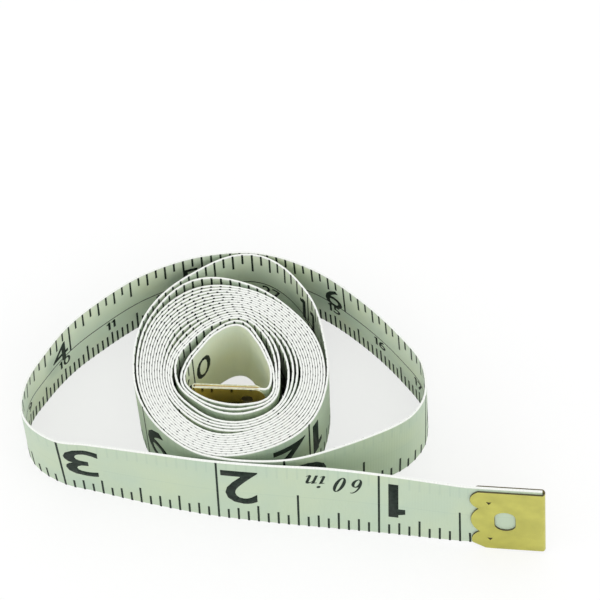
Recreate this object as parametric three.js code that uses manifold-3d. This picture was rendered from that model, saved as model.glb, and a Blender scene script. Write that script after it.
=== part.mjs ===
// A cloth tape measure that stands on one edge. The tape is wound into a coil with an open eye,
// leaves the coil on the right, runs round the back and folds back at the left into a free end
// along the front. A folded brass tip is crimped on each end of the tape.
// Millimetres, +Z up. The origin is the middle of the footprint on the table.

import * as THREE from "three";
import { mergeVertices } from "three/addons/utils/BufferGeometryUtils.js";
import Module from "manifold-3d";

const wasm = await Module();
wasm.setup();

// The tape.
const tapeWidth = 16;
const tapeThickness = 0.35;

// The brass tips: a plate folded over the tape's end, with a scalloped edge and a slotted hole.
const tipLength = 11.5;
const tipRise = 0.2;
const plateThickness = 0.25;
const crimpClearance = 0.1;
const scallopCount = 3;
const scallopDepth = 1.5;
const cornerChamfer = 0.8;
const holeAlong = 3.1;
const holeAcross = 4.9;
const holeFromFold = 6.2;
const holeMargin = 0.1;
const arcSteps = 8;
const cutOverrun = 1;

// The inner end lies straight across the eye as a chord, past a tight round corner. The chord's
// middle is that far below the coil's centre and to the right of it.
const chordDrop = 3.65;
const chordShift = 0.5;
const chordTilt = 186.7;
const cornerReach = 1.3;
const cornerSteps = 10;

// The eye leaves the tip room to lie across it. It is a three-cornered round: its radius every
// 30 degrees, as shares of eyeRadius.
const eyeClearance = 0.99;
const eyeRadius = Math.hypot(tipLength / 2, chordDrop) + eyeClearance;
const eyeShares = [0.83, 0.76, 0.82, 1.02, 0.885, 0.75, 0.81, 0.94, 0.89, 0.86, 0.92, 0.97];

// The winding. It turns clockwise from its outside to the eye, and angles are in degrees from +X.
const turnGap = 0.43;
const fullTurns = 9;
const joinAngle = 270;
const eyeEndAngle = -5;
const stepsPerTurn = 40;
const pitch = tapeThickness + turnGap;

// The turns grow from the eye's shape to an oval, and two loose turns stand off at the back.
const roundingTurns = 4;
const ovalSwell = 1.4;
const ovalAngle = 130;
const slackTurn = { rise: 2.0, angle: 115, ahead: 60, behind: 60 };
const lobeTurn = { rise: 4.6, angle: 78, ahead: 52, behind: 70 };

// The run outside the coil: the clear distances from the coil out to its far sides.
const leftSpace = 15.4;
const rightSpace = 15.1;
const frontSpace = 2.4;
const backSpace = 1.85;
const freeReach = 36.45;
const runStep = 2;
const seamGap = 0.3;

// Stations of the run on the tape's lower edge, from the free end's tip back to the coil. Each is
// x as a share of the reach to that side, y as a share of the distance to the front or the back,
// and how far the top edge leans in towards the coil, as a share of the tape's width.
const frontShares = [
  [1, -0.852, 0.085],
  [0.794, -0.885, 0.085],
  [0.532, -0.916, 0.115],
  [0.353, -0.945, 0.12],
  [0.169, -0.975, 0.09],
  [-0.019, -1, 0.07],
  [-0.323, -0.97, 0.05],
  [-0.62, -0.925, 0],
  [-0.775, -0.897, -0.03],
  [-0.918, -0.785, -0.045],
  [-0.99, -0.65, -0.02],
];
const rearShares = [
  [-1, -0.393, 0.02],
  [-0.978, -0.098, 0.05],
  [-0.892, 0.157, 0.05],
  [-0.772, 0.378, 0.05],
  [-0.56, 0.678, 0.05],
  [-0.285, 0.904, 0.05],
  [0.019, 1, 0.05],
  [0.326, 0.922, 0.05],
  [0.601, 0.722, 0.05],
  [0.84, 0.465, 0.04],
  [0.971, 0.261, 0.03],
  [1, 0.009, 0.01],
  [0.957, -0.175, 0],
  [0.891, -0.306, 0],
  [0.61, -0.62, 0],
  [0.39, -0.796, 0],
  [0.16, -0.868, 0],
];

const cloth = new THREE.MeshStandardMaterial({ color: "#cdd8c6", roughness: 0.55, metalness: 0 });
const brass = new THREE.MeshStandardMaterial({ color: "#b79c3f", roughness: 0.3, metalness: 0.9 });

const polar = (radius, angle, lean = 0) => {
  const turned = THREE.MathUtils.degToRad(angle);
  return new THREE.Vector3(radius * Math.cos(turned), radius * Math.sin(turned), lean);
};

// The eye's share at any angle, through the given ones on a closed smooth curve.
function eyeShare(angle) {
  const place = (THREE.MathUtils.euclideanModulo(angle, 360) / 360) * eyeShares.length;
  const first = Math.floor(place);
  const [a, b, c, d] = [-1, 0, 1, 2].map((k) => eyeShares.at((first + k) % eyeShares.length));
  const t = place - first;
  const bend = (2 * a - 5 * b + 4 * c - d) * t * t + (3 * b - 3 * c + d - a) * t * t * t;
  return b + ((c - a) * t + bend) / 2;
}

// How far a loose turn stands off at an angle, with a smooth rise on both sides of its middle.
function standOff(loose, angle) {
  const away = THREE.MathUtils.euclideanModulo(angle - loose.angle + 180, 360) - 180;
  const reach = away > 0 ? loose.ahead : loose.behind;
  if (Math.abs(away) >= reach) return 0;
  return loose.rise * Math.cos(((away / reach) * Math.PI) / 2) ** 2;
}

// The winding's middle line at an angle turned from its outer start.
const totalTurned = joinAngle - eyeEndAngle + 360 * fullTurns;
const looseUntil = (loose) => THREE.MathUtils.euclideanModulo(joinAngle - loose.angle - 180, 360);
const lobeUntil = looseUntil(lobeTurn) + 360;
const slackUntil = looseUntil(slackTurn) + 360;

function windingPoint(turned) {
  const angle = joinAngle - turned;
  const turnsLeft = (totalTurned - turned) / 360;
  const grown = THREE.MathUtils.smoothstep(turnsLeft, 0, roundingTurns);
  const swell = (1 + Math.cos(2 * THREE.MathUtils.degToRad(angle - ovalAngle))) / 2;
  const round = eyeRadius + ovalSwell * swell;
  let radius = THREE.MathUtils.lerp(eyeRadius * eyeShare(angle), round, grown);
  radius += pitch * turnsLeft;
  if (turned < slackUntil) radius += standOff(slackTurn, angle);
  if (turned < lobeUntil) radius += standOff(lobeTurn, angle);
  return polar(radius, angle);
}

const lengthOf = (points) =>
  points.slice(1).reduce((sum, point, k) => sum + point.distanceTo(points[k]), 0);

// The winding's middle line, with the round corner and the chord that carries the inner tip.
function windingLine() {
  const steps = Math.round((totalTurned / 360) * stepsPerTurn);
  const spiral = Array.from({ length: steps + 1 }, (_, k) => windingPoint((totalTurned * k) / steps));
  const last = spiral.at(-1);
  const heading = last.clone().sub(spiral.at(-2)).setLength(cornerReach);
  const along = polar(1, chordTilt);
  const chordStart = new THREE.Vector3(chordShift, -chordDrop, 0).addScaledVector(
    along,
    -tipLength / 2,
  );
  const corner = new THREE.CubicBezierCurve3(
    last,
    last.clone().add(heading),
    chordStart.clone().addScaledVector(along, -cornerReach),
    chordStart,
  );
  const chordEnd = chordStart.clone().addScaledVector(along, tipLength);
  return [...spiral.slice(0, -1), ...corner.getPoints(cornerSteps), chordEnd];
}

// The run's middle line from the free end to the coil: points whose z holds the lean.
function runLine(winding) {
  const join = winding[0];
  const outer = -join.y;
  const left = outer + leftSpace;
  const right = outer + rightSpace;
  const front = outer + frontSpace;
  const back = Math.max(...winding.map((point) => point.y)) + backSpace;
  const station = (reach) => ([x, y, lean]) =>
    new THREE.Vector3(x * (x < 0 ? left : reach), y * (y < 0 ? front : back), lean * tapeWidth);
  const stations = [
    ...frontShares.map(station(outer + freeReach)),
    ...rearShares.map(station(right)),
    join.clone(),
    winding[1].clone(),
  ];
  const spline = new THREE.CatmullRomCurve3(stations, false, "centripetal");
  const count = Math.round(spline.getLength() / runStep);
  const points = spline.getSpacedPoints(count).slice(0, -1);
  points[points.length - 1] = join.clone();
  const bed = Math.ceil((tipLength + seamGap) / runStep) + 1;
  for (let k = 1; k < bed; k++) {
    points[k].lerpVectors(points[0], points[bed], k / bed);
    points[k].z = points[0].z;
  }
  return points;
}

// Cuts a length off the start of a line of points.
function trimStart(points, length) {
  const kept = points.slice();
  while (kept[0].distanceTo(kept[1]) <= length) {
    length -= kept[0].distanceTo(kept[1]);
    kept.shift();
  }
  kept[0] = kept[0].clone().lerp(kept[1], length / kept[0].distanceTo(kept[1]));
  return kept;
}
const trimEnd = (points, length) => trimStart(points.toReversed(), length).toReversed();

// The side of the tape that faces the coil, at one point of a line.
function inwardAt(points, k) {
  const before = points[Math.max(k - 1, 0)];
  const after = points[Math.min(k + 1, points.length - 1)];
  const along = after.clone().sub(before).setZ(0).normalize();
  return new THREE.Vector3(along.y, -along.x, 0);
}

// A place on the tape: depth counts from the middle line towards the coil, height from the table.
function onTape(point, inward, depth, height) {
  const lean = (point.z * height) / tapeWidth;
  return new THREE.Vector3(point.x, point.y, height).addScaledVector(inward, depth + lean);
}

// A strip of tape along a line of points, as a closed body with four corners at each point.
function strip(points) {
  const half = tapeThickness / 2;
  const corners = [[-half, 0], [half, 0], [half, tapeWidth], [-half, tapeWidth]];
  const places = points.flatMap((point, k) => {
    const inward = inwardAt(points, k);
    return corners.flatMap(([depth, height]) => onTape(point, inward, depth, height).toArray());
  });
  const sides = corners.length;
  const faces = [0, 1, 2, 0, 2, 3];
  for (let k = 0; k < points.length - 1; k++)
    for (let side = 0; side < sides; side++) {
      const a = k * sides + side;
      const b = k * sides + ((side + 1) % sides);
      faces.push(a, b + sides, b, a, a + sides, b + sides);
    }
  const last = (points.length - 1) * sides;
  faces.push(last, last + 2, last + 1, last, last + 3, last + 2);
  const geometry = new THREE.BufferGeometry();
  geometry.setAttribute("position", new THREE.Float32BufferAttribute(places, 3));
  geometry.setIndex(faces);
  return geometry;
}

// Turns a flat shape, x along the tape from its end, y across it and z its depth, onto the tape.
function lay(geometry, end, next) {
  const along = next.clone().sub(end).setZ(0).normalize();
  const inward = inwardAt([end, next], 0);
  const place = geometry.getAttribute("position");
  for (let k = 0; k < place.count; k++) {
    const onLine = end.clone().addScaledVector(along, place.getX(k));
    const laid = onTape(onLine, inward, place.getZ(k), place.getY(k));
    place.setXYZ(k, laid.x, laid.y, laid.z);
  }
  return geometry;
}

const solid = (geometry) => {
  const bare = new THREE.BufferGeometry();
  const flat = geometry.index ? geometry.toNonIndexed() : geometry;
  bare.setAttribute("position", flat.getAttribute("position"));
  const merged = mergeVertices(bare);
  return new wasm.Manifold(
    new wasm.Mesh({
      numProp: 3,
      vertProperties: merged.getAttribute("position").array,
      triVerts: new Uint32Array(merged.index.array),
    }),
  );
};

const geometryOf = (body) => {
  const { vertProperties, triVerts } = body.getMesh();
  const geometry = new THREE.BufferGeometry();
  geometry.setAttribute("position", new THREE.BufferAttribute(vertProperties, 3));
  geometry.setIndex(new THREE.BufferAttribute(triVerts, 1));
  return geometry;
};

// Extrudes a flat outline to a thickness centred on the tape's middle line.
function slab(outline, thickness) {
  const options = { depth: thickness, bevelEnabled: false, curveSegments: arcSteps };
  return new THREE.ExtrudeGeometry(outline, options).translate(0, 0, -thickness / 2);
}

// The slotted hole's outline, with its long way across the tape.
function holeOutline(margin) {
  const radius = holeAlong / 2 + margin;
  const straight = (holeAcross - holeAlong) / 2;
  const middle = tapeWidth / 2;
  const outline = new THREE.Shape();
  outline.absarc(holeFromFold, middle + straight, radius, 0, Math.PI);
  outline.absarc(holeFromFold, middle - straight, radius, Math.PI, 2 * Math.PI);
  return outline;
}

// The tip's outline: square at the fold, one chamfered corner, and scallops over the tape.
function tipOutline() {
  const height = tapeWidth + tipRise;
  const cusp = tipLength - scallopDepth;
  const half = height / scallopCount / 2;
  const radius = (half * half + scallopDepth * scallopDepth) / (2 * scallopDepth);
  const sweep = Math.asin(half / radius);
  const outline = new THREE.Shape();
  outline.moveTo(0, 0);
  outline.lineTo(cusp - cornerChamfer, 0);
  outline.lineTo(cusp, cornerChamfer);
  for (let k = 0; k < scallopCount; k++) {
    const middle = (2 * k + 1) * half;
    const start = k === 0 ? -Math.asin((half - cornerChamfer) / radius) : -sweep;
    outline.absarc(cusp + scallopDepth - radius, middle, radius, start, sweep);
  }
  outline.lineTo(0, height);
  return outline;
}

// A brass tip: two plates joined at the fold, with room between them for the tape.
function tip(end, next) {
  const slot = tapeThickness + 2 * crimpClearance;
  const gap = new THREE.BoxGeometry(tipLength, tapeWidth + 2 * cutOverrun + tipRise, slot);
  gap.translate(plateThickness + tipLength / 2, tapeWidth / 2, 0);
  const body = solid(slab(tipOutline(), slot + 2 * plateThickness))
    .subtract(solid(gap))
    .subtract(solid(slab(holeOutline(0), slot + 2 * cutOverrun)));
  return lay(geometryOf(body), end, next);
}

// A strip with the hole for its tip cut through it.
function pierced(points, end, next) {
  const cutter = lay(geometryOf(solid(slab(holeOutline(holeMargin), 2 * cutOverrun))), end, next);
  return geometryOf(solid(strip(points)).subtract(solid(cutter)));
}

// The least clear distance between two stretches of the tape that aren't next to each other.
function leastGap(points) {
  const edges = [0, tapeWidth].map((height) =>
    points.map((point, k) => onTape(point, inwardAt(points, k), 0, height)),
  );
  let least = Infinity;
  for (const edge of edges) {
    const reached = edge.map((_, k) => k && edge[k].distanceTo(edge[k - 1]));
    for (let k = 1; k < reached.length; k++) reached[k] += reached[k - 1];
    for (let i = 0; i < edge.length; i++)
      for (let j = i + 1; j < edge.length - 1; j++) {
        if (reached[j] - reached[i] < eyeRadius) continue;
        const nearest = new THREE.Line3(edge[j], edge[j + 1]).closestPointToPoint(
          edge[i],
          true,
          new THREE.Vector3(),
        );
        least = Math.min(least, nearest.distanceTo(edge[i]));
      }
  }
  return least - tapeThickness;
}

const winding = windingLine();
const run = runLine(winding);
const fold = run.reduce((best, point, k) => (point.x < run[best].x ? k : best), 0);
const setback = plateThickness + crimpClearance;

const outerEnd = run[0];
const outerNext = run[1];
const innerEnd = winding.at(-1);
const innerNext = winding.at(-2);

const freeEnd = trimEnd(trimStart(run.slice(0, fold + 1), setback), seamGap / 2);
const outerLoop = trimEnd(trimStart(run.slice(fold), seamGap / 2), seamGap / 2);
const coil = trimEnd(trimStart(winding, seamGap / 2), setback);

const pieces = [
  ["tape_coil", pierced(coil, innerEnd, innerNext), cloth],
  ["tape_outer_loop", strip(outerLoop), cloth],
  ["tape_free_end", pierced(freeEnd, outerEnd, outerNext), cloth],
  ["outer_tip", tip(outerEnd, outerNext), brass],
  ["inner_tip", tip(innerEnd, innerNext), brass],
];

const tapeMeasure = new THREE.Group();
for (const [name, geometry, material] of pieces) {
  const mesh = new THREE.Mesh(geometry, material);
  mesh.name = name;
  tapeMeasure.add(mesh);
}
const middle = new THREE.Box3().setFromObject(tapeMeasure).getCenter(new THREE.Vector3());
tapeMeasure.position.set(-middle.x, -middle.y, 0);

const whole = [...run, ...winding.slice(1)];
console.log(`least gap of the tape to itself: ${leastGap(whole).toFixed(3)} mm`);
console.log(`tape length as modelled: ${lengthOf(whole).toFixed(1)} mm`);
console.log(`fold axis: ${run[fold].x - middle.x}, ${run[fold].y - middle.y}`);
console.log(`coil centre: ${-middle.x}, ${-middle.y}`);

export default tapeMeasure;
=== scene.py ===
"""Looks of a cloth tape measure that stands on its lower edge.

The tape is wound into a coil with an open eye, leaves the coil on the right, runs round the back
and folds back at the left into a free end along the front. Both faces carry a printed scale, and
each end is closed by a folded brass tip.

Everything is first shaped flat: x along the tape from its outer end, y across it and z towards
the coil. It is then laid onto the tape's standing line. Sizes in the panel are metres. Numbers in
the tables are millimetres, shares, degrees or, for the least angles of an edge, radians.
"""

import math

import bmesh
import bpy
import numpy as np
from bpy.props import FloatProperty, FloatVectorProperty, PointerProperty
from mathutils import Matrix, Vector


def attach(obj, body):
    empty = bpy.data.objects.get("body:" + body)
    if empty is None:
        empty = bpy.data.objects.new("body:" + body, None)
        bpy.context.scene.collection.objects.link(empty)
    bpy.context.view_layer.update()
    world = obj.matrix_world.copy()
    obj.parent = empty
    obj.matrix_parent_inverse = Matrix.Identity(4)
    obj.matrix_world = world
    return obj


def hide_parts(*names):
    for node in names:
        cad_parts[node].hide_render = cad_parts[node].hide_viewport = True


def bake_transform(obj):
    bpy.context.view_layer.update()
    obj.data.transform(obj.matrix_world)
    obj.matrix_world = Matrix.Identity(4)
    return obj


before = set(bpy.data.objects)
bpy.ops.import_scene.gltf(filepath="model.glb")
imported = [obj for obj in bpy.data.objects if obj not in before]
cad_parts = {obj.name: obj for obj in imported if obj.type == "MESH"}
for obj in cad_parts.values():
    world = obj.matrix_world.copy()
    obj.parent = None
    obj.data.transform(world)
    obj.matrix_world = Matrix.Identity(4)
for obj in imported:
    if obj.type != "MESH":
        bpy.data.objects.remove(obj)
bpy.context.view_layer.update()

bl_info = {
    "name": "Cloth tape measure",
    "version": (1, 0, 0),
    "blender": (4, 5, 0),
    "location": "View3D > Sidebar > Tape",
    "description": "Builds the printed tape, its brass tips and the stage around the packed part",
    "category": "Add Mesh",
}

MM = 0.001
INCH = 25.4
COIL_CENTRE = (-10.4117, -2.1624)

# The run outside the coil: its reach to each side, then stations from the tip to the coil. Each is
# x and y in shares of the reach, and how far the top leans in, in tape widths.
TIP_REACH = 52.69
LEFT_REACH = 32.7
RIGHT_REACH = 31.34
FRONT_REACH = 18.05
NEAR_REACH = 18.4
BACK_REACH = 22.9
FRONT_STATIONS = [
    (1, -0.88, 0.075), (0.794, -0.914, 0.075), (0.532, -0.936, 0.11), (0.353, -0.961, 0.125),
    (0.169, -0.988, 0.1), (-0.018, -1, 0.075), (-0.313, -0.976, 0.042), (-0.6, -0.929, -0.015),
    (-0.75, -0.903, -0.05), (-0.888, -0.801, -0.03), (-0.958, -0.668, 0.02),
]
REAR_STATIONS = [
    (-0.998, -0.375, 0.1), (-0.946, -0.095, 0.095), (-0.862, 0.158, 0.075), (-0.747, 0.374, 0.06),
    (-0.542, 0.678, 0.062), (-0.276, 0.904, 0.068), (0.019, 1, 0.07), (0.326, 0.922, 0.07),
    (0.601, 0.722, 0.07), (0.84, 0.465, 0.065), (0.971, 0.261, 0.055), (1, 0.009, 0.02),
    (0.957, -0.175, 0), (0.891, -0.306, 0), (0.61, -0.62, 0), (0.39, -0.796, 0),
    (0.16, -0.868, 0),
]

# The free end is straight in its tip and climbs a little off the table: its tilt in degrees at
# distances from the tip. Below zero the tape only lies askew.
TIP_BED = 14.0
LEAN_HELD = 12.0
CLIMB = [
    (0, 4.1), (11.5, 4.1), (14, 2.2), (26, 1.2), (45, 0.3),
    (52, 0), (64, -0.7), (76, -1.5), (88, -0.8), (100, 0),
]

# The radius of the coil's turns at every 30 degrees, clockwise from the front. The turns that
# aren't listed lie evenly between the listed ones.
TURN_RADII = {
    0: (16.0, 15.22, 15.06, 15.45, 17.0, 18.65, 21.33, 18.5, 15.75, 15.52, 16.1, 15.63),
    1: (15.56, 14.77, 14.46, 14.8, 16.05, 17.38, 15.65, 14.27, 14.47, 15.03, 15.6, 15.2),
    2: (15.15, 14.38, 14.08, 14.25, 15.25, 15.74, 14.65, 13.87, 14.07, 14.62, 15.22, 14.79),
    10: (12.0, 11.35, 11.0, 10.8, 11.1, 11.0, 11.45, 10.7, 10.8, 11.45, 11.7, 11.5),
    11: (11.15, 10.65, 10.6, 10.3, 10.35, 10.45, 11.0, 10.2, 10.35, 10.75, 11.2, 11.0),
    12: (10.6, 10.2, 10.2, 9.8, 9.5, 9.9, 10.6, 9.7, 9.7, 10.1, 10.7, 10.55),
    13: (10.1, 9.8, 9.8, 9.4, 8.8, 9.3, 10.15, 9.2, 8.9, 9.4, 10.3, 10.1),
    14: (9.6, 9.1, 9.4, 9.0, 8.4, 8.85, 9.7, 8.6, 7.95, 7.9, 9.12, 8.65),
    15: (8.1, 7.85, 8.5, 8.55, 8.0, 8.4, 9.3, 8.1, 7.3, 7.45, 8.72, 7.85),
    16: (7.35, 7.4, 7.95, 6.95, 6.4, 7.3, 8.65, 6.95, 6.35, 7.0, 8.25, 7.1),
    17: (6.5, 6.75, 7.45, 6.4, 5.95, 6.8, 7.9, 6.45, 5.95, 6.6, 7.2, 7.5),
}
TURN_STEP = 30

# The whole angle turned, where the coil begins and the turned angle that aims the run at it. Then
# the chord that carries the inner tip, and the reach of the round corner before it.
TURNED = 6386
JOIN_ANGLE = 270
JOIN_AIM = 9
CHORD_MIDDLE = (0.5, -3.65)
CHORD_TILT = 186.7
CHORD_LENGTH = 11.5
CORNER_REACH = 1.0

# Parts of each stretch of the line, and the step of the finished line.
SPAN_PARTS = 60
CORNER_PARTS = 40
CHORD_PARTS = 46
LINE_STEP = 0.1

# What is left of the thickness at the softened edges, the angle from which an edge of the cloth is
# sharp, and the facets next to a cut end in steps.
SOFTENED = 0.8
CREASE_ANGLE = 0.8
END_STEPS = (0.1, 0.3)

# Where the free end and the bend end, and printed lines begin to pass the upper edge.
FREE_UNTIL = 76.0
BEND_UNTIL = 95.0
COIL_FROM = 217.0

# The scale: its length, how much of it the tips hide, and where distances on it lie on the tape.
SCALE_INCHES = 60
SCALE_CENTIMETRES = 152
HIDDEN_IN_TIP = 10.4
PRINT_PLACES = [
    (0, 0.55), (25.4, 26.22), (50.8, 51.77), (76.2, 77.2), (101.6, 102.9), (152.4, 154.5),
    (266.7, 269.9), (304.8, 307.1), (1524, 1511.8),
]

# Lengths of the printed lines, by the longest step that meets them: 1, 2, 4 or 8 sixteenths of an
# inch, or 1, 2, 5 or 10 millimetres. The outer half inches that are listed have another one.
OUTER_TICKS = {1: 2.7, 2: 3.3, 4: 4.5, 8: 8.5}
SHORT_HALVES = {2.5: 4.7}
INNER_TICKS = {1: 2.6, 2: 3.8, 4: 4.1, 8: 4.8}
METRIC_TICKS = {1: 3.3, 2: 3.3, 5: 5.1, 10: 3.9}

# From an inch line to a single numeral, to each of a pair and to the first one. From the middle down
# to the inner numerals. Between small digits, and up to them. From the first inch line and from the
# upper edge to the words.
OUTER_GAPS = (0.65, 0.9)
INNER_GAPS = (0.6, 0.8)
GAP_AT_ONE = 1.5
INNER_FOOT = 0.7
DIGIT_SPACE = 0.3
DIGIT_RISE = 1.2
WORDS_GAP = 2.6
WORDS_MARGIN = 1.8

# The built-in letters in their own units: their height, how much heavier each kind of numeral is,
# the flag that the one gets, the four's own outline, and the wider and lower three. Points of a
# sliced letter that are as near as the last number are joined.
FONT_HEIGHT = 0.7
OUTER_WEIGHT = 0.012
INNER_WEIGHT = 0.004
CENTIMETRE_WEIGHT = 0.015
ONE_FLAG = [(0, 0.64), (-0.085, 0.61), (-0.085, 0.51), (0, 0.51)]
FOUR_OUTLINE = [
    (0.399, -0.008), (0.399, 0.216), (0.472, 0.216), (0.472, 0.32), (0.399, 0.32), (0.399, 0.7),
    (0.343, 0.7), (0, 0.275), (0, 0.216), (0.285, 0.216), (0.285, -0.008),
]
FOUR_ROOM = [(0.15, 0.32), (0.285, 0.32), (0.285, 0.488)]
NUMERAL_SHAPES = {"3": (1.13, 0.95)}
SLICE_WELD = 0.001

# The slanted letters of the printed length, in shares of their height: middles and halves of the
# ovals of the six and the zero, the outlines of the letters, and each one's place and size.
SLANT = 0.3
OVAL_PARTS = 24
OVAL = (0.193, 0.5)
OVAL_ROOM = (0.062, 0.445)
BOWL = (0.193, 0.291)
BOWL_ROOM = (0.066, 0.234)
BOWL_ROOM_MIDDLE = (0.2, 0.284)
HORN = (0.144, 0.42)
HORN_MIDDLE = (0.22, 0.535)
I_STEM = [
    (0.121, 0.616), (-0.093, 0.535), (-0.093, 0.5), (0, 0.512), (0, 0.081),
    (0.028, 0.012), (0.093, -0.007), (0.221, 0.093), (0.209, 0.121), (0.121, 0.088),
]
I_DOT_MIDDLE = (0.07, 0.83)
I_DOT = (0.084, 0.084)
N_OUTLINE = [
    (0.116, 0.616), (-0.093, 0.535), (-0.093, 0.5), (0, 0.512), (0, 0), (0.116, 0), (0.116, 0.395),
    (0.174, 0.488), (0.233, 0.512), (0.26, 0.477), (0.26, 0.081), (0.288, 0.012), (0.349, -0.007),
    (0.477, 0.093), (0.465, 0.121), (0.381, 0.088), (0.381, 0.488), (0.349, 0.581), (0.279, 0.616),
    (0.198, 0.581), (0.116, 0.488),
]
LETTER_STARTS = (0, 0.63, 1.53, 1.83)
LETTER_SCALES = (1.08, 1.08, 0.92, 0.95)

# The other face's print seen through the cloth: a tick's half width in sixteenths, where ticks begin
# and the centre line's half width, then a numeral's patch, in inches along and tape widths across.
GHOST_TICK = (0.1, 0.8, 0.006)
GHOST_PATCH = (0.86, 0.58)
GHOST_PATCH_HALVES = (0.13, 0.3)
GHOST_TICK_STRENGTH = 0.22
GHOST_PATCH_STRENGTH = 0.7

# What the clouds in the coating do to its red, green and blue.
COOL_CLOUD = (0.93, 0.97, 1.02)
WARM_CLOUD = (1.05, 1.03, 0.97)

# The tips: scallops from the top down, the cut corner along and up, the pressed marks' places and
# how near a face has to be, parts of a round and of half the fold, and the least rounded angle.
SCALLOP_SHARES = (0.29, 0.41, 0.3)
CUT_SHARES = (0.6, 0.9)
MARK_SHARES = (0.18, 0.82)
MARK_NEAR = 0.3
ARC_PARTS = 12
FOLD_PARTS = 6
SHARP_ANGLE = 1.2

CAMERA_FROM_COIL = (51.09, -184.17, 342.05)
CAMERA_HEADING = (-0.2087, 0.9780)
CAMERA_DOWN = 58.14
CAMERA_ROLL = -2.614
PHOTO_PIXELS = 600
PHOTO_FOCAL_PIXELS = 2400
SENSOR = 36

# The lamps: name, place in metres, share of the power and size. Then the world's light, and the
# floor's share of plain white in the camera's view and how far it lies below the tape.
LAMPS = [
    ("front_lamp", (0.2, -0.65, 0.68), 0.14, 0.5),
    ("left_lamp", (-0.75, -0.15, 0.5), 0.14, 0.6),
    ("right_lamp", (0.75, -0.1, 0.5), 0.14, 0.6),
]
SOFT_LIGHT = 0.93
FLOOR_WHITE = 0.68
FLOOR_DROP = 0.02

OUTER = -1
INNER = 1


def length(label, text, default):
    return FloatProperty(name=label, description=text, default=default, precision=6, unit="LENGTH")


def colour(label, text, default):
    return FloatVectorProperty(
        name=label, description=text, default=default, size=3, min=0, max=1, subtype="COLOR"
    )


class TapeSizes(bpy.types.PropertyGroup):
    width: length("Width", "Width of the tape", 0.016)
    thickness: length("Thickness", "Thickness of the coated cloth", 0.00033)
    softening: length("Softening", "Width of the softened strip along both edges", 0.00005)
    rim: length("Rim", "Width of the uncoated strip along both edges", 0.00018)
    step: length("Step", "Length of one facet of the tape", 0.0005)
    setback: length("Setback", "Distance from a tip's fold to the cloth", 0.00044)
    outer_face: colour("Outer face", "Colour of the coating on the outside", (0.49, 0.59, 0.44))
    # The inner face's colour is painted light: it is lighter than the coating really is, to stand in for
    # the light that the shaded loops lack.
    inner_face: colour("Inner face", "Colour of the coating towards the coil", (0.82, 0.90, 0.73))
    edge: colour("Edge", "Colour of the cut edges", (0.91, 0.93, 0.89))
    ghost: colour("Show-through", "Colour of the other face's print seen through", (0.33, 0.45, 0.36))


class PrintSizes(bpy.types.PropertyGroup):
    line: length("Line", "Width of a printed line", 0.00034)
    centre_line: length("Centre line", "Width of the long line on the inner face", 0.00022)
    proud: length("Ink height", "How far the ink stands proud", 0.000014)
    sunk: length("Ink depth", "How deep the ink soaks in", 0.00004)
    bleed: length("Bleed", "How far a line runs over the tape's edge", 0.000012)
    outer_numeral: length("Outer numerals", "Height of the outer inch numerals", 0.009)
    outer_margin: length("Outer margin", "Plain edge to the outer numerals", 0.0022)
    inner_numeral: length("Inner numerals", "Height of the inner inch numerals", 0.0056)
    centimetre_numeral: length("Centimetres", "Height of the centimetre numerals", 0.0024)
    words: length("Words", "Height of the length printed after the first inch", 0.004)
    slice: length("Slice", "Width of the slices that let a numeral bend", 0.0006)
    ink: colour("Ink", "Colour of the print", (0.013, 0.022, 0.016))


class TipSizes(bpy.types.PropertyGroup):
    length: length("Length", "Length of a folded tip", 0.0115)
    height: length("Height", "Height of a folded tip across the tape", 0.0163)
    drop: length("Drop", "How far the outer tip sits below the tape", 0.00075)
    skew: length("Skew", "How far the outer tip's plates are folded out of true", 0.0003)
    plate: length("Plate", "Thickness of the brass sheet", 0.00025)
    room: length("Room", "Clear space between the two plates", 0.00036)
    scallop: length("Scallop", "Depth of the scallops", 0.0013)
    chamfer: length("Chamfer", "Size of the cut corner", 0.0016)
    hole_along: length("Hole along", "Width of the slotted hole along the tape", 0.0032)
    hole_across: length("Hole across", "Length of the slotted hole across the tape", 0.0052)
    hole_place: length("Hole place", "From the fold to the hole's middle", 0.0062)
    prong: length("Prong mark", "Width of the triangular marks in the outer tip", 0.001)
    dimple: length("Dimple", "Width of the round marks in the inner tip", 0.0019)
    prong_place: length("Mark place", "From the fold to the marks", 0.0086)
    rounding: length("Rounding", "Rounding of the sheet's edges", 0.00004)
    brass: colour("Outer brass", "Colour of the outer tip", (0.56, 0.54, 0.13))
    bright_brass: colour("Inner brass", "Colour of the inner tip", (0.86, 0.68, 0.22))
    # Painted shade: this dark colour stands in for the shade in the pressed marks and along the outer
    # tip's edges.
    tarnish: colour("Tarnish", "Colour of the marks and of the outer tip's edges", (0.12, 0.10, 0.05))
    cut_brass: colour("Cut brass", "Colour of the inner tip's edges", (0.62, 0.64, 0.46))


class StageSizes(bpy.types.PropertyGroup):
    floor: length("Floor", "Side of the square floor", 6)
    paper: colour("Paper", "Colour of the floor", (0.96, 0.96, 0.96))
    lamp: FloatProperty(name="Lamp", description="Power shared by the lamps", default=6, unit="POWER")


def catmull_rom(points, parts):
    """Points on the centripetal curve through the given ones, in a number of parts to each span."""
    rows = np.vstack([2 * points[0] - points[1], points, 2 * points[-1] - points[-2]])
    step = np.diff(rows, axis=0)
    reach = np.linalg.norm(step, axis=1)[:, None] ** 0.5
    wide = (rows[2:] - rows[:-2]) / (reach[:-1] + reach[1:])
    slope = step[:-1] / reach[:-1] - wide + step[1:] / reach[1:]
    t = np.linspace(0, 1, parts, endpoint=False)[:, None]
    ease = 3 * t**2 - 2 * t**3
    spans = []
    for k in range(len(points) - 1):
        bend = (t**3 - 2 * t**2 + t) * slope[k] + (t**3 - t**2) * slope[k + 1]
        spans.append((1 - ease) * points[k] + ease * points[k + 1] + bend * reach[k + 1])
    return np.vstack(spans + [points[-1:]])


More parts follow.
